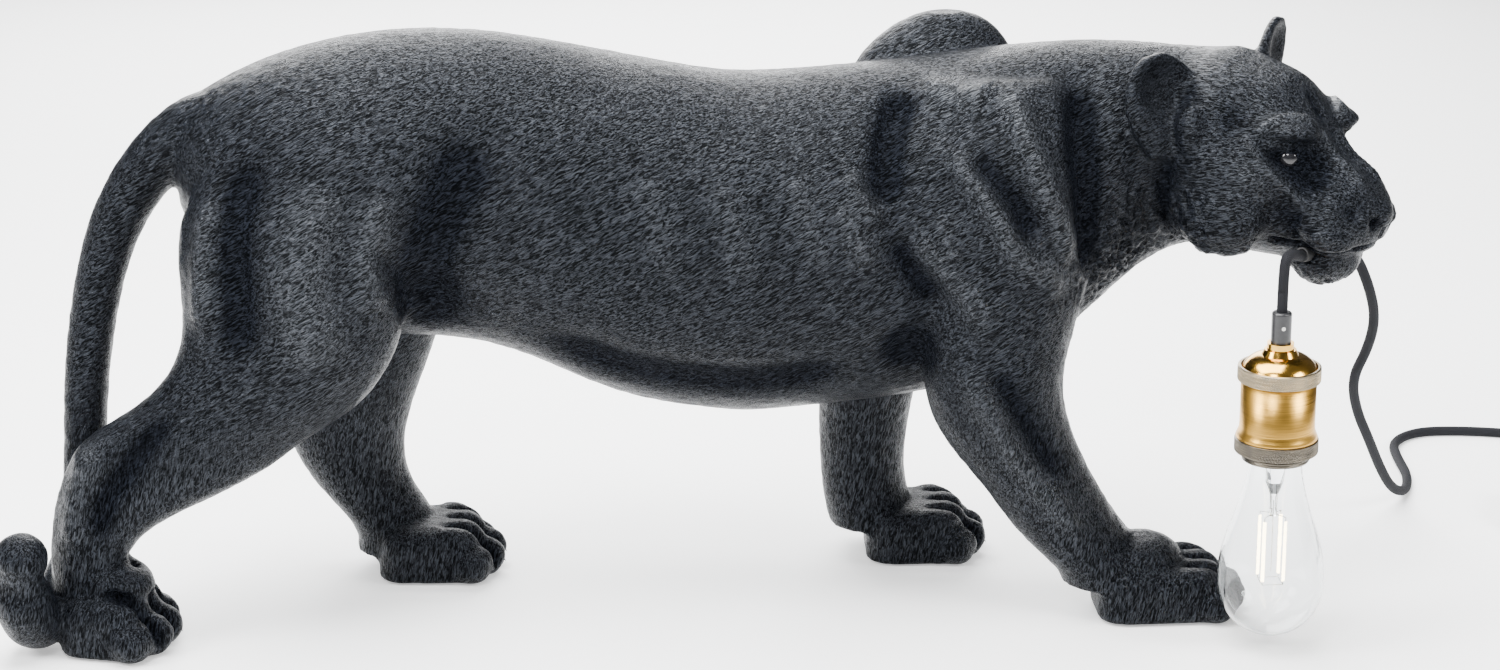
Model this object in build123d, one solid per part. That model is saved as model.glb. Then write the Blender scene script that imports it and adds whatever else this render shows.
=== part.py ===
from build123d import *

import os
from math import cos, pi, radians, sin, tan

# A walking panther cast in resin that carries a vintage bulb on a cord in its mouth.
# Millimetres, +Z up, +X towards the panther's front, -Y is the side it looks to.
# The finished parts have their origin on the floor, under the middle of the object without its lead.

# ---------------------------------------------------------------- driving dimensions
# figure
figure_stretch_x = 1.0
figure_stretch_z = 1.0
head_yaw = 46.0
sole_height = 1.0
pad_diameter = 24.0
pad_thickness = 3.0
pad_fit = 0.1

# cord
cord_diameter = 6.5
cord_fit = 0.1
mouth_bend_radius = 10.0
sleeve_wall = 1.0
sleeve_length = 44.0

# pendant, named from the floor upwards
pendant_x = 308.0
pendant_y = -120.0
bulb_floor_gap = 5.0
bulb_diameter = 64.0
glass_length = 116.0
glass_wall = 0.9
glass_neck_diameter = 31.0
cap_diameter = 26.4
cap_length = 24.0
cap_overlap = 3.0
cap_skirt_height = 4.5
screw_shell_wall = 0.5
screw_fit = 0.35
skirt_diameter = 39.6
skirt_wall = 1.6
skirt_above_glass = 3.6
skirt_visible = 5.0
shade_ring_diameter = 50.0
shade_ring_height = 8.6
shade_ring_travel = 3.0
barrel_diameter = 45.0
barrel_wall = 1.2
barrel_height = 40.0
joint_ring_diameter = 49.5
joint_ring_height = 9.0
dome_height = 13.5
dome_wall = 1.2
collar_diameter = 16.0
collar_height = 4.0
grip_diameter = 12.0
grip_height = 19.0
gland_diameter = 9.6
swing_neck = 8.0
swing_gap = 0.4
running_fit = 0.3
thread_fit = 0.1

# lead on the floor
coil_radius = 36.0
coil_turn_height = 3
coil_turn_width = 2
switch_length = 56.0
switch_width = 24.0
switch_height = 17.0
switch_wall = 2.0
rocker_length = 15.0
rocker_width = 9.0
plug_width = 35.0
plug_thickness = 13.5
plug_body_length = 34.0
plug_pin_diameter = 4.0
plug_pin_length = 19.0
plug_pin_spacing = 18.8
relief_length = 24.0
relief_diameter = 10.5

cord_radius = cord_diameter / 2
os.makedirs("parts", exist_ok=True)
made = {}


def keep(name, shape):
    """Holds one finished sub-part under the name of its file."""
    made[name] = shape


def at_figure(x, z):
    """A side-view point of the figure, with the figure's two overall stretches."""
    return x * figure_stretch_x, z * figure_stretch_z


def turned(profile_points):
    """A solid of revolution about Z from (radius, height) points."""
    face = make_face(Polyline(*[(r, 0, z) for r, z in profile_points], close=True))
    return revolve(face, Axis.Z, 360)


def ring(outer, inner, bottom, height):
    """A plain tube about Z."""
    tube = Cylinder(outer / 2, height, align=(Align.CENTER, Align.CENTER, Align.MIN))
    tube -= Cylinder(inner / 2, height, align=(Align.CENTER, Align.CENTER, Align.MIN))
    return Pos(0, 0, bottom) * tube


def rod(diameter, bottom, height):
    """A plain cylinder about Z."""
    solid = Cylinder(diameter / 2, height, align=(Align.CENTER, Align.CENTER, Align.MIN))
    return Pos(0, 0, bottom) * solid


# ---------------------------------------------------------------- the panther
def column(stations):
    """A limb lofted through level ellipses. A station is z, x, y, half-length and half-width."""
    sections = []
    for z, x, y, half_length, half_width in stations:
        rear_x, height = at_figure(x - half_length, z)
        front_x = at_figure(x + half_length, z)[0]
        plane = Plane(((rear_x + front_x) / 2, y, height), x_dir=(1, 0, 0), z_dir=(0, 0, 1))
        sections.append(plane * Ellipse((front_x - rear_x) / 2, half_width))
    return loft(sections)


head_forward = Vector(cos(radians(head_yaw)), -sin(radians(head_yaw)), 0)
head_left = Vector(sin(radians(head_yaw)), cos(radians(head_yaw)), 0)
nose_x = at_figure(369.0, 0)[0]
nose_tip = Vector(nose_x, -113.0, 0)


def in_head(forward, left, z):
    """A point given from the nose: forward along the head, left across it, and its height."""
    return nose_tip + head_forward * forward + head_left * left + Vector(0, 0, z * figure_stretch_z)


def head_section(forward, left, top, low, half_width):
    middle = in_head(forward, left, (top + low) / 2)
    plane = Plane(middle, x_dir=(0, 0, -1), z_dir=head_forward)
    return plane * Ellipse((top - low) / 2 * figure_stretch_z, half_width)


def spine():
    """Trunk, neck, skull and muzzle in one loft. A station is x, y, heading, top, bottom and half-width."""
    trunk = [
        (-338, 0, 0, 316, 264, 20),
        (-322, 0, 0, 327, 234, 42),
        (-285, 0, 0, 345, 204, 63),
        (-230, 0, 0, 359, 178, 71),
        (-170, 0, 0, 361, 171, 67),
        (-110, 0, 0, 352, 149, 68),
        (-50, 0, 0, 339, 127, 74),
        (10, 0, 0, 331, 120, 77),
        (70, 0, 0, 334, 124, 75),
        (130, 0, 0, 340, 133, 71),
        (185, 0, 4, 345, 156, 63),
        (224, -4, 15, 346, 188, 56),
        (251, -10, 31, 345, 212, 51),
    ]
    skull = [
        (-130, 345, 224, 49),
        (-104, 347, 226, 50),
        (-76, 341, 227, 45),
        (-54, 327, 228, 37),
        (-36, 303, 231, 32),
        (-20, 290, 236, 28),
        (-8, 281, 243, 21),
        (-1, 274, 256, 11),
    ]
    sections = []
    for x, y, heading, top, low, half_width in trunk:
        x_at, low_at = at_figure(x, low)
        top_at = at_figure(x, top)[1]
        along = Vector(cos(radians(heading)), -sin(radians(heading)), 0)
        plane = Plane((x_at, y, (top_at + low_at) / 2), x_dir=(0, 0, -1), z_dir=along)
        sections.append(plane * Ellipse((top_at - low_at) / 2, half_width))
    sections += [head_section(forward, 0, top, low, half) for forward, top, low, half in skull]
    return loft(sections)


def chin():
    """The lower jaw's tip: forward, top, bottom and half-width."""
    stations = [
        (-68, 248, 230, 13),
        (-54, 248, 221, 19),
        (-38, 246, 216, 21),
        (-26, 246, 221, 17),
        (-20, 244, 229, 10),
    ]
    return loft([head_section(forward, 0, top, low, half) for forward, top, low, half in stations])


def ear(root, tip, facing, width, thickness):
    """A rounded ear lofted from its root to its tip, flat towards where it faces."""
    up = tip - root
    shape = [(-0.1, 0.72, 1.5), (0.25, 0.95, 1.2), (0.55, 1.0, 1.0), (0.82, 0.74, 0.85), (1.0, 0.3, 0.6)]
    sections = []
    for share, breadth, depth in shape:
        across = up.cross(facing)
        plane = Plane(root + up * share, x_dir=across, z_dir=up)
        sections.append(plane * Ellipse(width / 2 * breadth, thickness / 2 * depth))
    return loft(sections)


def tail():
    """The tail hangs behind the near hock, turns up again outside the heel: x, y, z, radius."""
    stations = [
        (-312, 0, 306, 23),
        (-343, 0, 293, 19),
        (-368, 0, 263, 16.5),
        (-384, -2, 226, 15),
        (-393, -6, 187, 14),
        (-398, -12, 150, 13.5),
        (-400, -20, 116, 13),
        (-402, -27, 82, 13.5),
        (-407, -33, 52, 14),
        (-417, -42, 29, 15),
        (-427, -56, 18.5, 16.5),
        (-433, -72, 24, 17.5),
        (-437, -81, 43, 17.5),
        (-436, -84, 66, 16.5),
    ]
    points = []
    for x, y, z, radius in stations:
        x_at, z_at = at_figure(x, z)
        points.append((Vector(x_at, y, z_at), radius))
    sections = []
    for i, (point, radius) in enumerate(points):
        ahead = points[min(i + 1, len(points) - 1)][0] - points[max(i - 1, 0)][0]
        across = Vector(1, 0, 0) - ahead * (ahead.X / ahead.dot(ahead))
        sections.append(Plane(point, x_dir=across, z_dir=ahead) * Circle(radius))
    tip, tip_radius = points[-1]
    return loft(sections) + Pos(*tip) * Sphere(tip_radius)


def paw(heel, toe, height, half_width):
    """A paw with four toes, its heel and toes given as x, y on the floor."""
    heel_at = Vector(heel[0] * figure_stretch_x, heel[1], 0)
    toe_at = Vector(toe[0] * figure_stretch_x, toe[1], 0)
    length = (toe_at - heel_at).length
    place = Plane(heel_at, x_dir=toe_at - heel_at, z_dir=(0, 0, 1))
    toe_radius = height * 0.36
    sole = Pos(0, 0, sole_height) * Box(length - toe_radius, 2 * half_width - 6, height - sole_height,
                                        align=(Align.MIN, Align.CENTER, Align.MIN))
    sole = fillet(sole.edges().filter_by(Axis.Z), half_width * 0.5)
    solid = fillet(sole.edges().group_by(Axis.Z)[-1], half_width * 0.4)
    for across, back in ((-0.69, 7), (-0.25, 0), (0.25, 0), (0.69, 7)):
        toe_end = Pos(length - toe_radius - back, half_width * across, toe_radius - 1.5) * Sphere(toe_radius)
        solid += toe_end - Pos(0, 0, sole_height) * Box(400, 400, 40, align=(Align.CENTER, Align.CENTER, Align.MAX))
    return place * solid


paw_places = {
    "near_fore": ((212, -62), (303, -65), 35, 33),
    "far_fore": ((84, 53), (160, 48), 36, 34),
    "near_hind": ((-412, -51), (-348, -71), 38, 33),
    "far_hind": ((-225, 50), (-147, 44), 36, 34),
}


def near_foreleg():
    """The near foreleg reaches forward: z, x, y, half-length, half-width."""
    return column([
        (332, 165, -30, 20, 12),
        (316, 160, -34, 46, 24),
        (282, 154, -38, 60, 34),
        (232, 150, -43, 58, 37),
        (186, 148, -48, 50, 35),
        (146, 148, -54, 42, 32),
        (118, 156, -56, 40, 30),
        (91, 172, -57, 36, 28),
        (64, 190, -58, 34, 27),
        (42, 208, -59, 33, 28),
        (20, 226, -60, 34, 29),
    ])


def far_foreleg():
    """The far foreleg stands upright under its raised shoulder blade."""
    return column([
        (357, 128, 38, 12, 7),
        (349, 127, 38, 30, 15),
        (332, 124, 38, 46, 24),
        (296, 119, 40, 58, 34),
        (246, 108, 42, 60, 36),
        (198, 98, 46, 52, 34),
        (150, 88, 50, 36, 29),
        (106, 84, 54, 30, 26),
        (68, 82, 55, 27, 24),
        (44, 84, 55, 27, 25),
        (20, 92, 55, 30, 28),
    ])


def near_hind_leg():
    """The near hind leg is stretched back, its hock high and its heel lifted from behind."""
    return column([
        (312, -266, -29, 48, 22),
        (268, -268, -38, 64, 33),
        (230, -267, -44, 71, 37),
        (182, -275, -50, 65, 35),
        (152, -296, -53, 66, 30),
        (132, -326, -55, 68, 25),
        (110, -350, -56, 60, 22),
        (84, -380, -55, 38, 21),
        (60, -397, -54, 24, 20),
        (36, -399, -54, 22, 21),
        (14, -396, -54, 22, 24),
    ])


def far_hind_leg():
    """The far hind leg stands under the body, its shank sloping back to the hock."""
    return column([
        (312, -264, 29, 46, 22),
        (268, -258, 38, 62, 33),
        (230, -251, 44, 69, 37),
        (165, -243, 50, 59, 33),
        (112, -244, 53, 42, 26),
        (80, -242, 54, 34, 22),
        (50, -228, 54, 29, 21),
        (14, -214, 54, 26, 25),
    ])


def pad_centre(place):
    """The middle of a foot pad, under the middle of its paw."""
    heel, toe = place[0], place[1]
    share = 0.5
    x = heel[0] + (toe[0] - heel[0]) * share
    y = heel[1] + (toe[1] - heel[1]) * share
    return x * figure_stretch_x, y


# The cord crosses the muzzle through a straight bore, from the far lip to the near one.
lip_height = 243.0
bore_far = in_head(-44.0, 24.0, 228.0)
mouth_corner = Vector(pendant_x * figure_stretch_x, pendant_y, lip_height * figure_stretch_z)
bore_line = (mouth_corner - bore_far).normalized()
bore_length = (mouth_corner - bore_far).length - 14.0
sleeve_outer = cord_diameter + 2 * cord_fit + 2 * sleeve_wall


def across_bore(diameter, start, length):
    """A rod along the bore, starting that far from the bore's far end."""
    plane = Plane(bore_far + bore_line * start, z_dir=bore_line)
    return plane * Cylinder(diameter / 2, length, align=(Align.CENTER, Align.CENTER, Align.MIN))


sleeve_start = (bore_length - sleeve_length) / 2

casting = spine()
casting += chin()
casting += near_foreleg()
casting += far_foreleg()
casting += near_hind_leg()
casting += far_hind_leg()
casting += tail()
for place in paw_places.values():
    casting += paw(*place)
near_ear_root = in_head(-124, -40, 296)
near_ear_tip = in_head(-136, -50, 348)
far_ear_root = in_head(-112, 36, 320)
far_ear_tip = in_head(-108, 46, 359)
casting += ear(near_ear_root, near_ear_tip, Vector(0.2, -1.0, 0.25), 50, 13)
casting += ear(far_ear_root, far_ear_tip, Vector(0.85, -0.5, 0.1), 38, 12)
casting -= across_bore(sleeve_outer + 2 * cord_fit, -60, bore_length + 120)
for place in paw_places.values():
    pad_x, pad_y = pad_centre(place)
    casting -= Pos(pad_x, pad_y, 0) * rod(pad_diameter + 2 * pad_fit, 0, pad_thickness)
keep("panther_casting", casting)

for name, place in paw_places.items():
    pad_x, pad_y = pad_centre(place)
    pad = Pos(pad_x, pad_y, 0) * rod(pad_diameter, 0, pad_thickness)
    keep(name + "_pad", chamfer(pad.edges().sort_by(Axis.Z)[0], 0.5))

sleeve = across_bore(sleeve_outer, sleeve_start, sleeve_length)
sleeve -= across_bore(cord_diameter + 2 * cord_fit, sleeve_start, sleeve_length)
keep("mouth_sleeve", sleeve)

# ---------------------------------------------------------------- heights of the pendant
glass_top = bulb_floor_gap + glass_length
cap_bottom = glass_top - cap_overlap
cap_top = cap_bottom + cap_length
insulator_height = 2.4
contact_height = 1.6
bulb_top = cap_top + insulator_height + contact_height
skirt_bottom = glass_top - skirt_above_glass
shade_ring_bottom = skirt_bottom + skirt_visible
barrel_bottom = shade_ring_bottom + shade_ring_height + running_fit
barrel_top = barrel_bottom + barrel_height
joint_ring_bottom = barrel_top - joint_ring_height / 2
joint_ring_top = joint_ring_bottom + joint_ring_height
dome_bottom = barrel_top
dome_top = dome_bottom + dome_wall + dome_height
collar_bottom = dome_top
grip_bottom = collar_bottom + collar_height
grip_top = grip_bottom + grip_height
lower_pivot_z = grip_top + swing_neck
upper_pivot_z = lower_pivot_z + swing_neck
pendant = Pos(pendant_x * figure_stretch_x, pendant_y, 0)

# ---------------------------------------------------------------- the cord in the mouth
cord_end_z = upper_pivot_z + cord_radius + swing_gap
mouth_path = FilletPolyline(
    bore_far, mouth_corner, (mouth_corner.X, mouth_corner.Y, cord_end_z), radius=mouth_bend_radius
)
mouth_cord = sweep(Plane(bore_far, z_dir=bore_line) * Circle(cord_radius), path=mouth_path)
keep("mouth_cord", mouth_cord)

swing_link = Sphere(cord_radius) + rod(
    cord_diameter, -(swing_neck - cord_radius - swing_gap), swing_neck - cord_radius - swing_gap
)
keep("swing_link", pendant * Pos(0, 0, upper_pivot_z) * swing_link)

# ---------------------------------------------------------------- the lampholder
lead_split_z = dome_top - dome_wall - 7.0
pendant_cord = Pos(0, 0, lower_pivot_z) * Sphere(cord_radius)
pendant_cord += rod(cord_diameter, lead_split_z, lower_pivot_z - lead_split_z)
keep("pendant_cord", pendant * pendant_cord)

cord_bore = cord_diameter + 2 * cord_fit
screw_z = grip_bottom + grip_height * 0.52
grip_screw_diameter = 2.4
grip = rod(grip_diameter, grip_bottom, grip_height)
grip = fillet(grip.edges().filter_by(GeomType.CIRCLE).sort_by(Axis.Z)[-1], 1.6)
grip += rod(gland_diameter, lead_split_z + 1.0, grip_bottom - lead_split_z - 1.0)
grip -= rod(cord_bore, lead_split_z, grip_top)
screw_axis = Pos(0, 0, screw_z) * Rot(90, 0, 0)
grip -= screw_axis * Cylinder(grip_screw_diameter / 2, grip_diameter,
                              align=(Align.CENTER, Align.CENTER, Align.MIN))
keep("cord_grip", pendant * grip)

screw_length = (grip_diameter - cord_bore) / 2 - 0.1
grip_screw = screw_axis * Pos(0, 0, cord_bore / 2 + 0.05) * Cylinder(
    grip_screw_diameter / 2, screw_length, align=(Align.CENTER, Align.CENTER, Align.MIN))
keep("grip_screw", pendant * grip_screw)

collar = ring(collar_diameter, gland_diameter + 2 * thread_fit, collar_bottom, collar_height)
collar = chamfer(collar.edges().filter_by(GeomType.CIRCLE).sort_by(Axis.Z)[-1], 0.8)
keep("neck_collar", pendant * collar)

nut_height = 3.5
nut_top = dome_top - dome_wall
lock_nut = extrude(RegularPolygon(8.2, 6), nut_height)
lock_nut -= rod(gland_diameter + 2 * thread_fit, 0, nut_height)
keep("lock_nut", pendant * Pos(0, 0, nut_top - nut_height) * lock_nut)

dome_hole = gland_diameter + 2 * thread_fit
dome_shoulder = 17.0
dome_rim = barrel_diameter / 2
dome_outline = Polyline((dome_hole / 2, 0, dome_top), (9.5, 0, dome_top), (11.0, 0, dome_top - 3.4))
dome_curve = ThreePointArc(
    (11.0, 0, dome_top - 3.4),
    (dome_shoulder + 0.6, 0, dome_top - 5.9),
    (dome_rim, 0, dome_bottom + 3.0),
)
dome_inside = ThreePointArc(
    (dome_rim - dome_wall, 0, dome_bottom + 3.0),
    (dome_shoulder - 0.2, 0, dome_top - 6.8),
    (10.2, 0, dome_top - dome_wall - 3.4),
)
dome_edge = Polyline((dome_rim, 0, dome_bottom + 3.0), (dome_rim, 0, dome_bottom),
                     (dome_rim - dome_wall, 0, dome_bottom), (dome_rim - dome_wall, 0, dome_bottom + 3.0))
dome_close = Polyline((10.2, 0, dome_top - dome_wall - 3.4), (8.9, 0, dome_top - dome_wall),
                      (dome_hole / 2, 0, dome_top - dome_wall), (dome_hole / 2, 0, dome_top))
dome = revolve(make_face([dome_outline, dome_curve, dome_edge, dome_inside, dome_close]), Axis.Z, 360)
keep("dome_cap", pendant * dome)

joint_ring = ring(joint_ring_diameter, barrel_diameter + 2 * thread_fit, joint_ring_bottom, joint_ring_height)
joint_ring = chamfer(joint_ring.edges().filter_by(GeomType.CIRCLE).group_by(SortBy.RADIUS)[-1], 1.0)
keep("joint_ring", pendant * joint_ring)

barrel = ring(barrel_diameter, barrel_diameter - 2 * barrel_wall, barrel_bottom, barrel_height)
flange = ring(barrel_diameter, skirt_diameter + 2 * thread_fit, barrel_bottom, 1.5)
keep("barrel", pendant * (barrel + flange))

shade_ring_bore = skirt_diameter + 2 * running_fit
shade_ring = ring(shade_ring_diameter, shade_ring_bore, shade_ring_bottom, shade_ring_height)
shade_ring = chamfer(shade_ring.edges().filter_by(GeomType.CIRCLE).group_by(SortBy.RADIUS)[-1], 1.0)
keep("shade_ring", pendant * shade_ring)

skirt_top = barrel_bottom + 16.0
skirt = ring(skirt_diameter, skirt_diameter - 2 * skirt_wall, skirt_bottom, skirt_top - skirt_bottom)
skirt_lip = ring(barrel_diameter - 2 * barrel_wall - 2 * thread_fit, skirt_diameter - 2 * skirt_wall,
                 barrel_bottom + 1.5 + thread_fit, 2.5)
keep("threaded_skirt", pendant * (skirt + skirt_lip))

shell_inner = cap_diameter + 2 * screw_fit
shell_outer = shell_inner + 2 * screw_shell_wall
insert_diameter = barrel_diameter - 2 * barrel_wall - 2 * thread_fit
insert_bottom = skirt_top + thread_fit
contact_room = 3.2
insert_floor = bulb_top + running_fit + contact_room
insert_top = barrel_top - 1.0
terminal_radius = insert_diameter / 2 - 4.5
insert = rod(insert_diameter, insert_bottom, insert_top - insert_bottom)
insert -= rod(shell_outer + 2 * thread_fit, insert_bottom, insert_floor - insert_bottom)
for turn in (0, 180):
    insert -= Rot(0, 0, turn) * Pos(terminal_radius, 0, insert_top - 8.0) * rod(4.0, 0, 8.0)
keep("porcelain_insert", pendant * insert)

shell_bottom = cap_bottom + cap_skirt_height + 1.0
screw_shell = ring(shell_outer, shell_inner, shell_bottom, insert_floor - thread_fit - shell_bottom)
screw_shell = fillet(screw_shell.edges().filter_by(GeomType.CIRCLE).sort_by(Axis.Z)[0], 0.2)
keep("screw_shell", pendant * screw_shell)

tongue = Box(16, 5, 0.6, align=(Align.CENTER, Align.CENTER, Align.MAX))
tongue += Pos(0, 0, -0.6) * rod(5.0, -(contact_room - 1.0), contact_room - 1.0)
keep("centre_contact", pendant * Pos(0, 0, insert_floor - thread_fit) * tongue)

screw_head_height = 2.0
for name, turn in (("live_screw", 0), ("neutral_screw", 180)):
    screw = rod(3.0, 0, 7.5 + thread_fit) + rod(5.6, 7.5 + thread_fit, screw_head_height)
    keep(name, pendant * Rot(0, 0, turn) * Pos(terminal_radius, 0, insert_top - 7.5) * screw)

lead_diameter = 2.2
lead_start_z = lead_split_z - 0.1
lead_end_z = insert_top + 2.0 + 2 * thread_fit + lead_diameter / 2
for name, side in (("live_lead", 1), ("neutral_lead", -1)):
    path = FilletPolyline(
        (side * 1.4, 0, lead_start_z),
        (side * 1.4, 0, lead_start_z - 2.0),
        (side * terminal_radius, 0, lead_end_z),
        (side * (terminal_radius + 2.0), 0, lead_end_z),
        radius=1.2,
    )
    lead = sweep(Plane((side * 1.4, 0, lead_start_z), z_dir=(0, 0, -1)) * Circle(lead_diameter / 2), path=path)
    keep(name, pendant * lead)

# ---------------------------------------------------------------- the bulb
belly_z = bulb_floor_gap + 37.0
neck_radius = glass_neck_diameter / 2


def glass_profile(inset):
    """The pear outline of the bulb, moved inwards by the glass's wall for its inside."""
    low = bulb_floor_gap + inset
    belly = bulb_diameter / 2 - inset
    narrow = neck_radius - inset
    top = glass_top if inset == 0 else glass_top + 1
    bottom_arc = ThreePointArc(
        (0, 0, low), (belly * 0.755, 0, low + (belly_z - low) * 0.32), (belly, 0, belly_z)
    )
    side = Bezier((belly, 0, belly_z), (belly, 0, belly_z + 26), (narrow + 3.5, 0, top - 38),
                  (narrow, 0, top - 4))
    rim = Polyline((narrow, 0, top - 4), (narrow, 0, top), (0, 0, top), (0, 0, low))
    return revolve(make_face([bottom_arc, side, rim]), Axis.Z, 360)


keep("bulb_glass", pendant * (glass_profile(0) - glass_profile(glass_wall)))

cap_wall = 0.5
bulb_cap = rod(cap_diameter, cap_bottom + cap_skirt_height, cap_length - cap_skirt_height)
bulb_cap += rod(glass_neck_diameter + 1.6, cap_bottom, cap_skirt_height)
bulb_cap -= rod(glass_neck_diameter + 2 * thread_fit, cap_bottom, cap_overlap + thread_fit)
bulb_cap -= rod(cap_diameter - 2 * cap_wall, cap_bottom, cap_length)
keep("bulb_cap", pendant * bulb_cap)

insulator = turned([
    (0, cap_top + thread_fit),
    (cap_diameter / 2 - 0.6, cap_top + thread_fit),
    (6.0, cap_top + insulator_height),
    (0, cap_top + insulator_height),
])
keep("cap_insulator", pendant * insulator)
tip_contact = rod(8.6, cap_top + insulator_height + thread_fit, contact_height - thread_fit)
tip_contact = fillet(tip_contact.edges().sort_by(Axis.Z)[-1], 0.7)
keep("tip_contact", pendant * tip_contact)

stem_top = glass_top - 0.5
stem_bottom = bulb_floor_gap + 76.0
stem = turned([
    (0, stem_bottom), (2.2, stem_bottom), (2.6, stem_bottom + 14), (5.4, stem_bottom + 22),
    (6.4, stem_top - 7), (12.6, stem_top), (0, stem_top),
])
keep("glass_stem", pendant * stem)

strip_top = bulb_floor_gap + 74.0
strip_length = 38.0
strip_circle = 9.0
strip_count = 4
strip_width = 2.0
strips = []
for i in range(strip_count):
    strip = Pos(strip_circle, 0, strip_top) * Box(0.9, strip_width, strip_length,
                                                  align=(Align.CENTER, Align.CENTER, Align.MAX))
    strips.append(Rot(0, 0, 45 + i * 360 / strip_count) * strip)
keep("filament_strips", pendant * Compound(children=strips))

wire = 0.7
wire_gap = 0.05
top_spider = Pos(0, 0, strip_top + wire_gap) * (
    rod(2 * strip_circle + 1.6, 0, wire) - rod(2 * strip_circle - 0.4, 0, wire))
top_spider += Pos(0, 0, strip_top + wire_gap) * rod(1.2, 0, stem_bottom - strip_top - 2 * wire_gap)
top_spider += Pos(0, 0, strip_top + wire_gap) * Box(2 * strip_circle, wire, wire,
                                                  align=(Align.CENTER, Align.CENTER, Align.MIN))
keep("upper_wires", pendant * top_spider)
strip_bottom = strip_top - strip_length
low_spider = Pos(0, 0, strip_bottom - wire_gap - wire) * (
    rod(2 * strip_circle + 1.6, 0, wire) - rod(2 * strip_circle - 0.4, 0, wire))
low_spider += Pos(0, 0, strip_bottom - wire_gap - wire) * Box(2 * strip_circle, wire, wire,
                                                           align=(Align.CENTER, Align.CENTER, Align.MIN))
low_spider += rod(1.0, strip_bottom - wire_gap - 7.0, 7.0 - 0.1)
keep("lower_wires", pendant * low_spider)

# ---------------------------------------------------------------- the mains lead
on_floor = cord_radius
switch_x = 588.0
switch_start_y = 172.0
switch_end_y = switch_start_y - switch_length
switch_split = switch_height / 2
cord_entry = 6.0
coil_x = switch_x - coil_radius
coil_y = 58.0
plug_axis_z = plug_thickness / 2
plug_start_y = 12.0
lip_clear = bore_far - bore_line * 18
lead_route = [
    (bore_far.X, bore_far.Y, bore_far.Z),
    (lip_clear.X, lip_clear.Y, lip_clear.Z),
    (380.0, -42.0, 200.0),
    (390.0, -26.0, 173.0),
    (391.0, -8.0, 147.0),
    (386.0, 8.0, 122.0),
    (395.0, 28.0, 94.0),
    (410.0, 48.0, 66.0),
    (424.0, 71.0, 39.0),
    (439.0, 93.0, 15.0),
    (455.0, 116.0, on_floor),
    (465.0, 146.0, on_floor),
    (467.0, 182.0, on_floor),
    (471.0, 214.0, on_floor),
    (494.0, 235.0, on_floor),
    (528.0, 233.0, on_floor),
    (560.0, 224.0, on_floor),
    (579.0, 208.0, 5.5),
    (switch_x, switch_start_y + 16.0, switch_split),
    (switch_x, switch_start_y - cord_entry, switch_split),
]
feed_route = [
    (switch_x, switch_end_y + cord_entry, switch_split),
    (switch_x, switch_end_y - 12.0, switch_split),
    (switch_x, coil_y + 22.0, on_floor),
]
end_route = [
    (switch_x, coil_y - 20.0, on_floor),
    (switch_x, plug_start_y + 13.0, plug_axis_z),
    (switch_x, plug_start_y, plug_axis_z),
]


def route_radii(points):
    """The largest radius each corner of a route allows, and prints them."""
    corners = [Vector(*p) for p in points]
    radii = []
    for before, corner, after in zip(corners, corners[1:], corners[2:]):
        turn = (corner - before).get_angle(after - corner)
        shorter = min((corner - before).length, (after - corner).length)
        radii.append(0.45 * shorter / tan(radians(turn / 2)))
    return radii


def cord_tube(points):
    """A plain round tube along straight runs joined by tangent arcs."""
    corners = [Vector(*p) for p in points]
    if len(corners) == 2:
        path = Line(*corners)
    else:
        path = FilletPolyline(*corners, radius=route_radii(points))
    start = Plane(corners[0], z_dir=corners[1] - corners[0])
    tube = sweep(start * Circle(cord_radius), path=path)
    whole = pi * cord_radius ** 2 * path.length
    print("cord length", round(path.length, 1), "volume share", round(tube.volume / whole, 4))
    return tube, path.length


mains_cord, mains_length = cord_tube(lead_route)
print("cord radii", [round(r, 1) for r in route_radii(lead_route)])
keep("mains_cord", mains_cord)

# The wound stretch of the lead is one closed solid with the coil's outer shape.
coil_height = coil_turn_height * cord_diameter
coil_width = coil_turn_width * cord_diameter
coil_inner = coil_radius - coil_width / 2
coil_outer = coil_radius + coil_width / 2
coil = Cylinder(coil_outer, coil_height, align=(Align.CENTER, Align.CENTER, Align.MIN))
coil -= Cylinder(coil_inner, coil_height, align=(Align.CENTER, Align.CENTER, Align.MIN))
coil = fillet(coil.edges().filter_by(GeomType.CIRCLE), cord_radius * 0.9)

tie_width = 12.0
tie_wall = 1.2
tie_slack = 0.9
tie_outer = Box(coil_width + 2 * (tie_wall + tie_slack), tie_width, coil_height + tie_wall + tie_slack,
                align=(Align.CENTER, Align.CENTER, Align.MIN))
tie_inner = Box(coil_width + 2 * tie_slack, tie_width, coil_height + tie_slack,
                align=(Align.CENTER, Align.CENTER, Align.MIN))
coil_tie = tie_outer - tie_inner
coil_place = Pos(coil_x, coil_y, 0)
keep("cord_coil", coil_place * coil)
keep("coil_tie", coil_place * Rot(0, 0, 125) * Pos(coil_radius, 0, 0) * coil_tie)

feed_cord, feed_length = cord_tube(feed_route)
keep("feed_cord", feed_cord - coil_place * coil)
end_cord, end_length = cord_tube(end_route)
keep("end_cord", end_cord - coil_place * coil)
coil_length = 2 * pi * coil_radius * coil_turn_height * coil_turn_width
print("whole lead", round(mains_length + switch_length + feed_length + coil_length + end_length))


# ---------------------------------------------------------------- the switch on the lead
switch_middle = (switch_start_y + switch_end_y) / 2
switch_place = Pos(switch_x, switch_middle, 0)
cover_bottom = switch_split + thread_fit
outline = SlotOverall(switch_length, switch_width, rotation=90)
hollow = SlotOverall(switch_length - 2 * switch_wall, switch_width - 2 * switch_wall, rotation=90)
cord_hole = Pos(0, 0, switch_split) * Rot(90, 0, 0) * Cylinder(cord_radius + cord_fit, switch_length + 2)
boss_diameter = 5.0
boss_bore = 2.6
boss_x = switch_width / 2 - switch_wall - boss_diameter / 2 - 0.2

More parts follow.
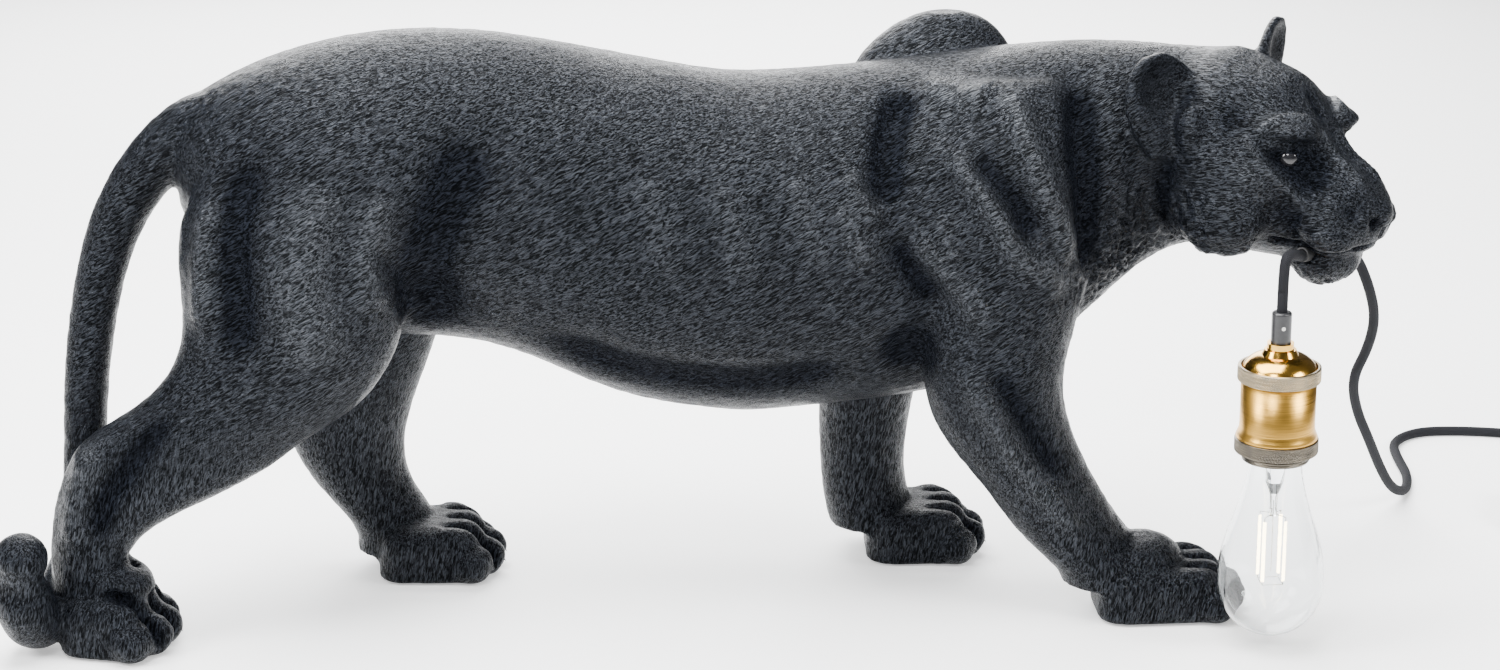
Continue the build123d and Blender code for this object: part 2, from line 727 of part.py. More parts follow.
base = fillet(extrude(outline, switch_split).edges().group_by(Axis.Z)[0], 1.5)
base -= Pos(0, 0, switch_wall) * extrude(hollow, switch_split)
cover = fillet(extrude(outline, switch_height - cover_bottom).edges().group_by(Axis.Z)[-1], 3.0)
cover -= Pos(0, 0, -switch_wall) * extrude(hollow, switch_height - cover_bottom)
cover = Pos(0, 0, cover_bottom) * cover
screw_solids = []
for side in (-1, 1):
    spot = Pos(side * boss_x, -side * 11.0, 0)
    base += spot * rod(boss_diameter, switch_wall / 2, switch_split - switch_wall / 2)
    base -= spot * rod(boss_bore, 0, switch_split)
    base -= spot * rod(boss_diameter - 0.6, 0, 1.4)
    cover += spot * rod(boss_diameter, cover_bottom, switch_height - cover_bottom - switch_wall / 2)
    cover -= spot * rod(boss_bore, cover_bottom, 5.0)
    screw_solids.append(spot * (rod(boss_diameter - 0.9, 0.2, 1.1) + rod(boss_bore - 0.3, 1.3, 11.0)))
base -= cord_hole
cover -= cord_hole

rocker_pin_diameter = 1.4
rocker_pin_z = switch_height - switch_wall / 2
rocker_tilt = 8.0
window = 2 * (running_fit + 0.3)
cover -= Pos(0, 0, switch_height) * Box(rocker_width + window, rocker_length + window, 3 * switch_wall)
pin_length = rocker_width + 5.0
pin_rod = Pos(0, 0, rocker_pin_z) * Rot(0, 90, 0) * Cylinder(rocker_pin_diameter / 2, pin_length)
pin_bore = Pos(0, 0, rocker_pin_z) * Rot(0, 90, 0) * Cylinder(rocker_pin_diameter / 2 + 0.05, pin_length + 0.2)
cover -= pin_bore
rocker = Pos(0, 0, rocker_pin_z + 0.6) * Box(rocker_width, rocker_length, 4.6)
rocker = fillet(rocker.edges().filter_by(Axis.Z), 0.8)
rocker = fillet(rocker.edges().group_by(Axis.Z)[-1], 0.5)
rocker -= pin_bore
rocker = Pos(0, 0, rocker_pin_z) * Rot(rocker_tilt, 0, 0) * Pos(0, 0, -rocker_pin_z) * rocker
keep("switch_base", switch_place * base)
keep("switch_cover", switch_place * cover)
keep("switch_screws", switch_place * Compound(children=screw_solids))
keep("rocker_pin", switch_place * pin_rod)
keep("switch_rocker", switch_place * rocker)
contacts = [Pos(side * 4.5, side * 5.0, switch_wall + thread_fit) * Box(
    5, 9, 4.0, align=(Align.CENTER, Align.CENTER, Align.MIN)) for side in (-1, 1)]
keep("switch_contacts", switch_place * Compound(children=contacts))

# ---------------------------------------------------------------- the plug
plug_place = Pos(switch_x, plug_start_y, plug_axis_z) * Rot(90, 0, 0)
relief = Cone(cord_radius + 1.2, relief_diameter / 2, relief_length, align=(Align.CENTER, Align.CENTER, Align.MIN))
keep("plug_relief", plug_place * relief)
plug_back = relief_length
plug_shape = [(0.0, 0.5, 0.9), (0.22, 0.78, 1.0), (0.6, 0.86, 1.0), (0.85, 1.0, 1.0), (1.0, 1.0, 0.96)]
plug_sections = []
for share, wide, thick in plug_shape:
    section = RectangleRounded(plug_width * wide, plug_thickness * thick, plug_thickness * thick * 0.3)
    plug_sections.append(Pos(0, 0, plug_back + plug_body_length * share) * section)
plug_body = loft(plug_sections, ruled=True)
pin_sink = 6.0
pin_shank = 3.0
pin_shoulder = 0.3
pin_front = plug_back + plug_body_length
pins = []
for side in (-1, 1):
    spot = Pos(side * plug_pin_spacing / 2, 0, 0)
    plug_body -= spot * rod(pin_shank, pin_front - pin_sink, pin_sink)
    pin = rod(plug_pin_diameter, pin_front + pin_shoulder, plug_pin_length - pin_shoulder)
    pin = fillet(pin.edges().sort_by(Axis.Z)[-1], 1.2)
    pins.append(spot * (pin + rod(pin_shank, pin_front - pin_sink, pin_sink + pin_shoulder)))
keep("plug_body", plug_place * plug_body)
keep("plug_pins", plug_place * Compound(children=pins))

# ---------------------------------------------------------------- origin and files
lead_parts = ["mains_cord", "feed_cord", "end_cord", "cord_coil", "coil_tie", "switch_base", "switch_cover",
              "switch_screws", "rocker_pin", "switch_rocker", "switch_contacts", "plug_relief", "plug_body",
              "plug_pins"]
boxes = [shape.bounding_box() for name, shape in made.items() if name not in lead_parts]
middle_x = (min(b.min.X for b in boxes) + max(b.max.X for b in boxes)) / 2
middle_y = (min(b.min.Y for b in boxes) + max(b.max.Y for b in boxes)) / 2
to_origin = Pos(-middle_x, -middle_y, 0)
print("moved by", round(-middle_x, 3), round(-middle_y, 3))
for name, shape in made.items():
    export_step(to_origin * shape, "parts/" + name + ".step")
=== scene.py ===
import math

import bmesh
import bpy
import numpy as np
from mathutils import Matrix, Vector, noise
from mathutils.bvhtree import BVHTree


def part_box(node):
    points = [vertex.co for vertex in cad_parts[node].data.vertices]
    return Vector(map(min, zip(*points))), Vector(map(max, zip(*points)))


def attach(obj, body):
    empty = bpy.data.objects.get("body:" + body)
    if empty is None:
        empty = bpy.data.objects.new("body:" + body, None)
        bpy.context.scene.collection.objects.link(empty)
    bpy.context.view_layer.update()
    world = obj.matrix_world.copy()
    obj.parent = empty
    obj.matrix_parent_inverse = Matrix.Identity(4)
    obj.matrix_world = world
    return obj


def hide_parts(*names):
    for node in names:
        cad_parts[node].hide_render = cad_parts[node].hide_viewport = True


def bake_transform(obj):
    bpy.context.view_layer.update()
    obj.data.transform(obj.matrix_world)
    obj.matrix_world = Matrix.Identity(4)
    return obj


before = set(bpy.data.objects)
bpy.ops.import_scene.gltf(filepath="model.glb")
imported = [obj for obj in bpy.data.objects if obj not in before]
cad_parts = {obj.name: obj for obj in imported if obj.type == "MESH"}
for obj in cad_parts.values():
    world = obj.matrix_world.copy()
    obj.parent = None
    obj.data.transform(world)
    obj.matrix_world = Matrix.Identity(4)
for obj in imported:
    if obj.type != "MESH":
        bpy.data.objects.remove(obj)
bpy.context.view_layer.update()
print("frame loaded:", len(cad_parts), "nodes")

# places on the figure are in millimetres from its own middle, at() puts them in the frame
pendantX, pendantY = 308.0, -120.0
barrelLow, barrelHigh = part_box("barrel")
offsetX = (barrelLow.x + barrelHigh.x) / 2 - pendantX / 1000
offsetY = (barrelLow.y + barrelHigh.y) / 2 - pendantY / 1000


def at(x, y, z):
    return Vector((x / 1000 + offsetX, y / 1000 + offsetY, z / 1000))


pendantAxis = at(pendantX, pendantY, 0)

# camera
view = {
    "from": (-209.6, -2229.4, 892.7),
    "to": (0, -52, 182),
    "lens": 92,
}


def makeCamera():
    data = bpy.data.cameras.new("camera")
    data.lens = view["lens"]
    data.sensor_width = 36
    data.clip_end = 50
    camera = bpy.data.objects.new("camera", data)
    bpy.context.collection.objects.link(camera)
    place, target = at(*view["from"]), at(*view["to"])
    camera.location = place
    camera.rotation_euler = (target - place).to_track_quat("-Z", "Y").to_euler()
    bpy.context.scene.camera = camera


makeCamera()
print("camera set")


def link(obj):
    bpy.context.collection.objects.link(obj)
    return obj


def meshObject(name, verts, faces, smooth=True):
    mesh = bpy.data.meshes.new(name)
    mesh.from_pydata([tuple(v) for v in verts], [], faces)
    mesh.update()
    if smooth:
        mesh.polygons.foreach_set("use_smooth", [True] * len(mesh.polygons))
    return link(bpy.data.objects.new(name, mesh))


# closed outlines of (radius, height) in mm, set evenly around the pendant's axis and joined up
def spun(name, outlines, smooth=True):
    verts, faces = [], []
    segments, count = len(outlines), len(outlines[0])
    for i, outline in enumerate(outlines):
        turn = 2 * math.pi * i / segments
        for r, z in outline:
            x = pendantAxis.x + r / 1000 * math.cos(turn)
            y = pendantAxis.y + r / 1000 * math.sin(turn)
            verts.append((x, y, z / 1000))
    for i in range(segments):
        here, there = i * count, (i + 1) % segments * count
        for j in range(count):
            k = (j + 1) % count
            faces.append((here + j, there + j, there + k, here + k))
    return meshObject(name, verts, faces, smooth)


def newMaterial(name):
    material = bpy.data.materials.new(name)
    material.use_nodes = True
    tree = material.node_tree
    return material, tree, tree.nodes["Principled BSDF"]


def paint(obj, material):
    obj.data.materials.clear()
    obj.data.materials.append(material)


def node(tree, kind, **values):
    made = tree.nodes.new(kind)
    for key, value in values.items():
        if key in made.inputs:
            made.inputs[key].default_value = value
        else:
            setattr(made, key, value)
    return made


def ramp(tree, source, low, high, colourLow, colourHigh):
    made = tree.nodes.new("ShaderNodeValToRGB")
    made.color_ramp.elements[0].position = low
    made.color_ramp.elements[1].position = high
    made.color_ramp.elements[0].color = (*colourLow, 1)
    made.color_ramp.elements[1].color = (*colourHigh, 1)
    tree.links.new(source, made.inputs["Fac"])
    return made


def bumpOn(tree, shader, height, strength, distance, after=None):
    bump = node(tree, "ShaderNodeBump", Strength=strength, Distance=distance)
    tree.links.new(height, bump.inputs["Height"])
    if after:
        tree.links.new(after.outputs["Normal"], bump.inputs["Normal"])
    tree.links.new(bump.outputs["Normal"], shader.inputs["Normal"])
    return bump


# the mains lead and the cord in the mouth
lead = {
    "diameter": 0.0065,
    "coilCentre": (552.0, 58.0),
    "coilRadius": 36.0,
    "pointsPerTurn": 18,
    "route": [
        (355.7, -64.7, 228.0), (367.2, -51.3, 224.4), (380, -42, 200), (390, -26, 173), (391, -8, 147),
        (386, 8, 122), (395, 28, 94), (410, 48, 66), (424, 71, 39), (439, 93, 15), (455, 116, 3.25),
        (465, 146, 3.25), (467, 182, 3.25), (471, 214, 3.25), (494, 235, 3.25), (528, 233, 3.25),
        (560, 224, 3.25), (579, 208, 5.5), (588, 188, 8.5), (588, 166, 8.5), (588, 144, 8.5),
        (588, 122, 8.5), (589, 104, 8.5), (591, 80, 3.25),
    ],
    "end": [(591.25, 58, 16.25), (590, 44, 15.5), (588.5, 27, 8.5), (588, 12, 6.75)],
}
# six turns clockwise, two beside each other and three high, each moving over before the next comes round
def coilPoints():
    half = lead["diameter"] * 500
    inner, outer = lead["coilRadius"] - half, lead["coilRadius"] + half
    levels = [half, 3 * half, 5 * half]
    spots = [
        (outer, levels[0]), (inner, levels[0]), (inner, levels[1]),
        (outer, levels[1]), (inner, levels[2]), (outer, levels[2]),
    ]
    moves = [(290, 360), (220, 290), (150, 220), (80, 150), (10, 80)]
    steps = lead["pointsPerTurn"]
    shrink = math.cos(math.pi / steps)
    cx, cy = lead["coilCentre"]
    points = []
    for turn, (radius, height) in enumerate(spots):
        for i in range(steps):
            angle = 360 * i / steps
            r, z = radius, height
            if turn < len(moves):
                start, end = moves[turn]
                share = min(max((angle - start) / (end - start), 0), 1)
                share = share * share * (3 - 2 * share)
                r2, z2 = spots[turn + 1]
                r, z = r + (r2 - r) * share, z + (z2 - z) * share
                if r2 != spots[turn][0] and z2 != spots[turn][1]:
                    bow = math.sin(share * math.pi) * half * 0.42
                    r, z = r + bow, z + bow
            turned = math.radians(-angle)
            points.append((cx + r / shrink * math.cos(turned), cy + r / shrink * math.sin(turned), z))
    return points


# the smooth line of a route, as places along it
def splineLine(points, name):
    curve = bpy.data.curves.new(name, "CURVE")
    curve.dimensions = "3D"
    spline = curve.splines.new("NURBS")
    spline.points.add(len(points) - 1)
    for point, place in zip(spline.points, points):
        point.co = (*at(*place), 1)
    spline.order_u = 3
    spline.use_endpoint_u = True
    spline.resolution_u = 7
    carrier = link(bpy.data.objects.new(name, curve))
    bpy.context.view_layer.update()
    mesh = bpy.data.meshes.new_from_object(carrier)
    line = [v.co.copy() for v in mesh.vertices]
    bpy.data.objects.remove(carrier)
    bpy.data.meshes.remove(mesh)
    return line


# a round tube with its length along v, so that the braid keeps its scale
def tube(name, line, diameter, sides=14):
    bm = bmesh.new()
    uv = bm.loops.layers.uv.new("UVMap")
    rings, along = [], [0.0]
    tangent = (line[1] - line[0]).normalized()
    side = tangent.orthogonal().normalized()
    for i, point in enumerate(line):
        ahead = line[min(i + 1, len(line) - 1)] - line[max(i - 1, 0)]
        if ahead.length < 1e-9:
            ahead = tangent
        tangent = ahead.normalized()
        side = (side - tangent * side.dot(tangent)).normalized()
        up = tangent.cross(side)
        if i:
            along.append(along[-1] + (point - line[i - 1]).length)
        ring = []
        for k in range(sides):
            turn = 2 * math.pi * k / sides
            ring.append(bm.verts.new(point + (side * math.cos(turn) + up * math.sin(turn)) * diameter / 2))
        rings.append(ring)
    for i in range(len(rings) - 1):
        for k in range(sides):
            n = (k + 1) % sides
            face = bm.faces.new((rings[i][k], rings[i][n], rings[i + 1][n], rings[i + 1][k]))
            face.smooth = True
            low, high = along[i], along[i + 1]
            for loop, (u, v) in zip(face.loops, ((k, low), (k + 1, low), (k + 1, high), (k, high))):
                loop[uv].uv = (u / sides, v * 100)
    for ring, start in ((rings[0], True), (rings[-1], False)):
        bm.faces.new(list(reversed(ring)) if start else ring)
    mesh = bpy.data.meshes.new(name)
    bm.to_mesh(mesh)
    bm.free()
    return link(bpy.data.objects.new(name, mesh)), along[-1]


# a dark braided sleeve: two sets of fine strands that cross
def textileMaterial():
    material, tree, shader = newMaterial("braidedTextile")
    uv = tree.nodes.new("ShaderNodeUVMap")
    strands = []
    for lean in (1, -1):
        place = node(tree, "ShaderNodeMapping")
        place.inputs["Scale"].default_value = (9, 9, 1)
        place.inputs["Rotation"].default_value = (0, 0, math.radians(38 * lean))
        tree.links.new(uv.outputs["UV"], place.inputs["Vector"])
        wave = node(tree, "ShaderNodeTexWave", Scale=0.62, Distortion=0.4)
        wave.inputs["Detail Scale"].default_value = 3
        tree.links.new(place.outputs["Vector"], wave.inputs["Vector"])
        strands.append(wave)
    both = node(tree, "ShaderNodeMath", operation="MAXIMUM")
    tree.links.new(strands[0].outputs["Fac"], both.inputs[0])
    tree.links.new(strands[1].outputs["Fac"], both.inputs[1])
    colour = ramp(tree, both.outputs[0], 0.2, 0.95, (0.0015, 0.0015, 0.002), (0.014, 0.0145, 0.018))
    tree.links.new(colour.outputs["Color"], shader.inputs["Base Color"])
    shader.inputs["Roughness"].default_value = 0.78
    shader.inputs["Specular IOR Level"].default_value = 0.15
    bumpOn(tree, shader, both.outputs[0], 0.7, 0.0006)
    return material


textile = textileMaterial()
leadLine = splineLine(lead["route"] + coilPoints() + lead["end"], "leadRoute")
mainsLead, leadLength = tube("mainsLead", leadLine, lead["diameter"])
paint(mainsLead, textile)
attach(mainsLead, "root")
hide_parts("mains_cord", "feed_cord", "end_cord", "cord_coil")
print("mains lead laid,", round(leadLength, 3), "m")

mouthRoute = [
    (355.7, -64.7, 228), (340, -83, 232), (322, -104, 238), (311, -117, 243),
    (pendantX, pendantY, 238), (pendantX, pendantY, 221),
]
mouthLine = splineLine(mouthRoute, "mouthRoute")
mouthCord, mouthLength = tube("mouthCord", mouthLine, lead["diameter"])
pendantRoute = [(pendantX, pendantY, z) for z in (221, 212, 200, 190, 178)]
pendantLine = splineLine(pendantRoute, "pendantRoute")
pendantCord, pendantLength = tube("pendantCord", pendantLine, lead["diameter"])
for cord in (mouthCord, pendantCord):
    paint(cord, textile)
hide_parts("mouth_cord", "swing_link")
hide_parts("pendant_cord")
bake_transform(mouthCord)
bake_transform(pendantCord)
print("mouth cords hung")

# the panther
panther = {
    "voxel": 0.0021,
    "smoothing": 5,
    "depth": 1.4,
    "headYaw": 46.0,
    "nose": (372.0, -116.0),
}
headYaw = math.radians(panther["headYaw"])


# a place given from the nose: forward along the head, left across it, and its height
def inHead(forward, left, z):
    x = panther["nose"][0] + forward * math.cos(headYaw) + left * math.sin(headYaw)
    y = panther["nose"][1] - forward * math.sin(headYaw) + left * math.cos(headYaw)
    return (x, y, z)


# heel, toe, height and half-width of each paw
paws = {
    "nearFore": ((212, -62), (303, -65), 35, 33),
    "farFore": ((84, 53), (160, 48), 36, 34),
    "nearHind": ((-412, -51), (-348, -71), 38, 33),
    "farHind": ((-225, 50), (-147, 44), 36, 34),
}


def pawFrame(paw):
    heel, toe, height, half = paw
    along = Vector((toe[0] - heel[0], toe[1] - heel[1], 0)).normalized()
    return Vector((toe[0], toe[1], 0)), along, Vector((-along.y, along.x, 0)), height, half


def toePlaces(paw):
    toe, along, across, height, half = pawFrame(paw)
    radius = height * 0.36
    for share, back in ((-0.69, 7), (-0.25, 0), (0.25, 0), (0.69, 7)):
        yield toe - along * (radius + back) + across * half * share, along, across, radius, height


# rounded masses joined to the casting: place, radii and heading
def lumps():
    for side in (-1, 1):
        yield inHead(-31, 17 * side, 251), (18, 14, 12.5), -headYaw
        yield inHead(-58, 22 * side, 311), (19, 12, 7), -headYaw
        yield inHead(-94, 37 * side, 258), (30, 13, 25), -headYaw
    yield inHead(-10, 0, 264), (10, 10.5, 9), -headYaw
    yield inHead(-44, 0, 232), (22, 17, 15), -headYaw
    yield inHead(-112, -46, 306), (10, 7, 16), -headYaw
    for paw in paws.values():
        for place, along, across, radius, height in toePlaces(paw):
            heading = math.atan2(along.y, along.x)
            tip = place + along * 1.5
            yield (tip.x, tip.y, radius * 0.98), (radius, radius * 0.66, radius * 0.92), heading
            knuckle = place - along * 14
            yield (knuckle.x, knuckle.y, height * 0.62), (16, 8.4, height * 0.4), heading
    yield (240, -62, 34), (26, 24, 17), 0
    yield (-385, -60, 40), (26, 22, 17), -0.3


# ridges and folds: width, height, places along them; they are laid on the nearest skin
folds = [
    (9, 4.6, [(157, -43, 331), (160, -60, 310), (168, -68, 288), (180, -72, 260), (187, -70, 235),
              (190, -68, 222)]),
    (9, 4.4, [(115, -59, 294), (129, -67, 283), (142, -73, 266), (149, -78, 252), (161, -78, 232),
              (176, -75, 220), (180, -73, 202)]),
    (8, 3.4, [(93, -71, 251), (106, -73, 232), (124, -76, 214), (136, -81, 196), (142, -81, 186)]),
    (6, 2.4, [(112, -70, 262), (116, -73, 244), (120, -75, 228)]),
    (7, 3.0, [(56, -64, 286), (62, -66, 272), (68, -67, 262), (74, -69, 252)]),
    (8, 2.8, [(46, -68, 268), (56, -70, 254), (66, -74, 238), (72, -74, 226)]),
    (12, 4.0, [(104, -31, 328), (126, -41, 327), (146, -50, 324)]),
    (8, -4.0, [(129, -64, 295), (142, -69, 279), (158, -75, 261), (168, -77, 240)]),
    (10, -5.0, [(96, -34, 332), (84, -52, 308), (80, -64, 282), (82, -68, 262)]),
    (8, -3.4, [(84, -70, 246), (96, -73, 226), (110, -76, 206)]),
    (10, -5.5, [(196, -36, 330), (200, -60, 300), (204, -66, 268), (202, -62, 238), (198, -55, 215)]),
    (16, 5.0, [(-247, -69, 290), (-262, -78, 250), (-266, -80, 220), (-251, -80, 175)]),
    (17, -4.0, [(-160, -58, 310), (-178, -66, 276), (-192, -64, 238), (-196, -44, 200)]),
    (12, -4.0, [(-290, -52, 302), (-304, -68, 262), (-303, -79, 215), (-306, -78, 180)]),
    (9, 3.5, [(-318, -55, 280), (-326, -70, 235), (-328, -74, 195)]),
    (10, 3.5, [(-215, -66, 285), (-225, -78, 245), (-222, -80, 205)]),
    (7, -4.0, [(-345, -76, 152), (-368, -74, 122), (-386, -74, 96), (-392, -74, 70)]),
    (8, 3.5, [(-394, -70, 132), (-404, -72, 100), (-408, -72, 66)]),
    (9, 1.8, [(22, -72, 290), (32, -78, 258), (44, -78, 226)]),
    (9, 1.6, [(-22, -72, 286), (-12, -78, 254), (0, -78, 220)]),
    (9, 1.4, [(-66, -70, 288), (-56, -76, 256), (-46, -76, 224)]),
    (14, -3.5, [(70, -66, 158), (10, -68, 146), (-70, -64, 152), (-140, -60, 176)]),
    (8, 3.0, [(124, -79, 170), (148, -85, 128), (176, -86, 88), (206, -86, 52)]),
    (8, -3.0, [(142, -80, 168), (164, -84, 130), (188, -84, 92)]),
    (8, 3.4, [(150, -40, 120), (160, -36, 96), (176, -34, 70)]),
]
# the same on the head, as forward, left and height; both sides get them
headFolds = [
    (2.8, 3.4, [(-82, -40, 306), (-71, -37, 297), (-60, -34, 286), (-50, -30, 277), (-41, -26, 268)]),
    (4.5, 4.6, [(-78, -33, 306), (-67, -28, 313), (-55, -22, 314), (-46, -17, 307)]),
    (1.7, 2.2, [(-71, -33, 300), (-62, -31, 302.5), (-53, -27, 299)]),
    (1.6, -2.6, [(-68, -33, 297), (-58, -31, 293), (-50, -27, 289), (-43, -22, 282), (-38, -18, 276)]),
    (3.6, 2.6, [(-50, -8, 312), (-38, -8, 301), (-25, -8, 290), (-12, -8, 278)]),
    (3.0, -3.0, [(-60, 0, 332), (-46, 0, 315)]),
    (2.0, -6.0, [(-9, -2, 246), (-13, -12, 242), (-24, -24, 239), (-40, -31, 237.5), (-56, -35, 238),
                 (-68, -38, 240)]),
    (1.4, -2.6, [(-2, 0, 257), (-5, 0, 247)]),
    (2.0, 2.0, [(-22, -15, 272), (-15, -13, 264), (-10, -11, 256)]),
    (3.2, 2.8, [(-62, -36, 233), (-79, -38, 230), (-97, -42, 229), (-115, -44, 234)]),
    (2.6, -2.6, [(-43, -31, 264), (-49, -33, 254), (-45, -32, 244)]),
    (1.2, -1.2, [(-18, -22, 254), (-30, -29, 255), (-42, -32, 256)]),
    (1.2, -1.2, [(-18, -22, 248), (-30, -29, 248), (-42, -32, 249)]),
    (6, -3.5, [(-126, -42, 290), (-132, -46, 262), (-128, -44, 236)]),
]
# round hollows and swellings: place, radius, height
hollows = [
    ((95, -62, 172), 17, -7.0),
    ((-190, -60, 200), 20, -5.0),
    ((-395, -66, 120), 10, 3.0),
]
headHollows = [
    ((-42, -25, 290), 12, -8.0),
    ((-59, -31, 297), 8.5, -4.5),
    ((-17, -17, 268), 7, -3.0),
    ((-52, -36, 262), 11, -3.0),
    ((-88, -41, 316), 14, -3.0),
    ((-8.5, -7.5, 261), 3.6, -5.5),
    ((-58, -32, 308), 7, 2.0),
    ((-70, -42, 283), 11, 3.0),
    ((-30, -30, 251), 9, 2.0),
]
# fur that stands in tufts: place, radius, how far it stands
tufts = [
    ((215, -48, 225), 34, 3.4),
    ((240, -58, 240), 30, 3.2),
    (inHead(-120, -44, 240), 22, 2.2),
    (inHead(-46, -6, 218), 20, 2.0),
    ((180, -30, 160), 30, 1.5),
]
ears = [
    {"root": (-124, -40, 296), "tip": (-136, -50, 348), "facing": (0.2, -1.0, 0.25),
     "across": 15, "up": 17, "deep": 8.5},
    {"root": (-112, 36, 320), "tip": (-108, 46, 359), "facing": (0.85, -0.5, 0.1),
     "across": 10, "up": 12, "deep": 5.0},
]


def addBall(bm, place, radii, heading):
    turn = Matrix.Rotation(heading, 4, "Z")
    size = Matrix.Diagonal((*[r / 1000 for r in radii], 1))
    matrix = Matrix.Translation(at(*place)) @ turn @ size
    bmesh.ops.create_icosphere(bm, subdivisions=3, radius=1.0, matrix=matrix)


# more places along a fold, on a smooth line through its given ones
def spread(points, step):
    out = []
    p = [Vector(q) for q in points]
    p = [p[0] * 2 - p[1]] + p + [p[-1] * 2 - p[-2]]
    for a, b, c, d in zip(p, p[1:], p[2:], p[3:]):
        count = max(2, int((c - b).length / step))
        for i in range(count):
            t = i / count
            curved = (2 * a - 5 * b + 4 * c - d) * t * t + (3 * b - a - 3 * c + d) * t ** 3
            out.append(0.5 * ((2 * b) + (c - a) * t + curved))
    out.append(p[-2])
    return out


def skinPlaces(tree, points, step):
    found = []
    for point in spread([tuple(at(*q)) for q in points], step):
        hit = tree.find_nearest(point)
        found.append(hit[0])
    return np.array([tuple(f) for f in found])


# how far each place rises by a fold, the fold fading out at both its ends
def foldLift(places, line, width, height):
    low, high = line.min(0) - 3 * width, line.max(0) + 3 * width
    near = np.where(((places > low) & (places < high)).all(1))[0]
    lift = np.zeros(len(places))
    if not len(near):
        return lift
    gap = np.linalg.norm(places[near, None, :] - line[None, :, :], axis=2)
    share = gap.argmin(1) / max(len(line) - 1, 1)
    fade = np.clip(np.minimum(share, 1 - share) * 6, 0.15, 1)
    lift[near] = height * fade * np.exp(-(gap.min(1) / width) ** 2)
    return lift


def sculpt():
    bm = bmesh.new()
    bm.from_mesh(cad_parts["panther_casting"].data)
    bmesh.ops.remove_doubles(bm, verts=bm.verts, dist=0.00002)
    for place, radii, heading in lumps():
        addBall(bm, place, radii, heading)
    mesh = bpy.data.meshes.new("panther")
    bm.to_mesh(mesh)
    bm.free()
    body = link(bpy.data.objects.new("panther", mesh))
    remesh = body.modifiers.new("remesh", "REMESH")
    remesh.mode = "VOXEL"
    remesh.voxel_size = panther["voxel"] * 1
    smooth = body.modifiers.new("smooth", "SMOOTH")
    smooth.factor = 0.5
    smooth.iterations = panther["smoothing"]
    bpy.context.view_layer.update()
    evaluated = body.evaluated_get(bpy.context.evaluated_depsgraph_get())
    fine = bpy.data.meshes.new_from_object(evaluated)
    body.modifiers.clear()
    body.data = fine
    print("panther skin:", len(fine.vertices), "points")
    return body


def skinArrays(mesh):
    places = np.empty(len(mesh.vertices) * 3)
    mesh.vertices.foreach_get("co", places)
    normals = np.empty(len(mesh.vertices) * 3)
    mesh.vertex_normals.foreach_get("vector", normals)
    return places.reshape(-1, 3), normals.reshape(-1, 3)


def setPlaces(mesh, places):
    mesh.vertices.foreach_set("co", places.ravel())
    mesh.update()


def addRelief(body):
    mesh = body.data
    places, normals = skinArrays(mesh)
    tree = BVHTree.FromObject(body, bpy.context.evaluated_depsgraph_get())
    lift = np.zeros(len(places))
    for width, height, points in folds:
        line = skinPlaces(tree, points, 0.003)
        lift += foldLift(places, line, width / 1000, height * panther["depth"] / 1000)
    for side in (1, -1):
        for width, height, points in headFolds:
            if side < 0 and all(left == 0 for forward, left, z in points):
                continue
            line = [inHead(forward, left * side, z) for forward, left, z in points]
            lift += foldLift(places, skinPlaces(tree, line, 0.001), width / 1000, height / 1000)
        for (forward, left, z), radius, height in headHollows:
            spot = np.array(tree.find_nearest(at(*inHead(forward, left * side, z)))[0])
            lift += height / 1000 * np.exp(-(np.linalg.norm(places - spot, axis=1) / (radius / 1000)) ** 2)
    for place, radius, height in hollows:
        spot = np.array(tree.find_nearest(at(*place))[0])
        lift += height / 1000 * np.exp(-(np.linalg.norm(places - spot, axis=1) / (radius / 1000)) ** 2)
    for paw in paws.values():
        toe, along, across, height, half = pawFrame(paw)
        for share in (-0.47, 0.0, 0.47):
            line = []
            for back, z in ((0, 6), (1, 15), (9, height * 0.72), (22, height * 0.95), (34, height * 1.05)):
                spot = toe - along * (back + 3 + 5 * abs(share)) + across * half * share
                line.append((spot.x, spot.y, z))
            lift += foldLift(places, skinPlaces(tree, line, 0.002), 0.0028, -0.0075)
    # the fold height is kept per point as well; the resin uses it for painted shine, brighter on ridges as
    # painted highlight and duller in creases as painted shade
    relief = mesh.attributes.new("relief", "FLOAT", "POINT")
    relief.data.foreach_set("value", np.clip(0.4 + lift / 0.008, 0, 1).astype(np.float32))
    sole = np.clip((places[:, 2] - 0.001) / 0.004, 0, 1)
    places = places + normals * (lift * sole)[:, None]
    places[:, 2] = np.maximum(places[:, 2], 0.001)
    setPlaces(mesh, places)


def addEars(body):
    mesh = body.data
    places, normals = skinArrays(mesh)
    for ear in ears:
        root, tip = Vector(inHead(*ear["root"])), Vector(inHead(*ear["tip"]))
        facing = Vector(ear["facing"]).normalized()
        up = (tip - root).normalized()
        across = up.cross(facing).normalized()
        facing = across.cross(up)
        middle = np.array(at(*(root + (tip - root) * 0.6)))
        away = (places - middle) * 1000
        u, v, w = away @ np.array(across), away @ np.array(up), away @ np.array(facing)
        inside = np.exp(-((u / ear["across"]) ** 2 + (v / ear["up"]) ** 2) ** 1.6)
        front = np.clip((normals @ np.array(facing)) * 2.5, 0, 1) * (np.abs(w) < 16)
        places = places - np.outer(inside * front * ear["deep"] / 1000, np.array(facing))
    setPlaces(mesh, places)


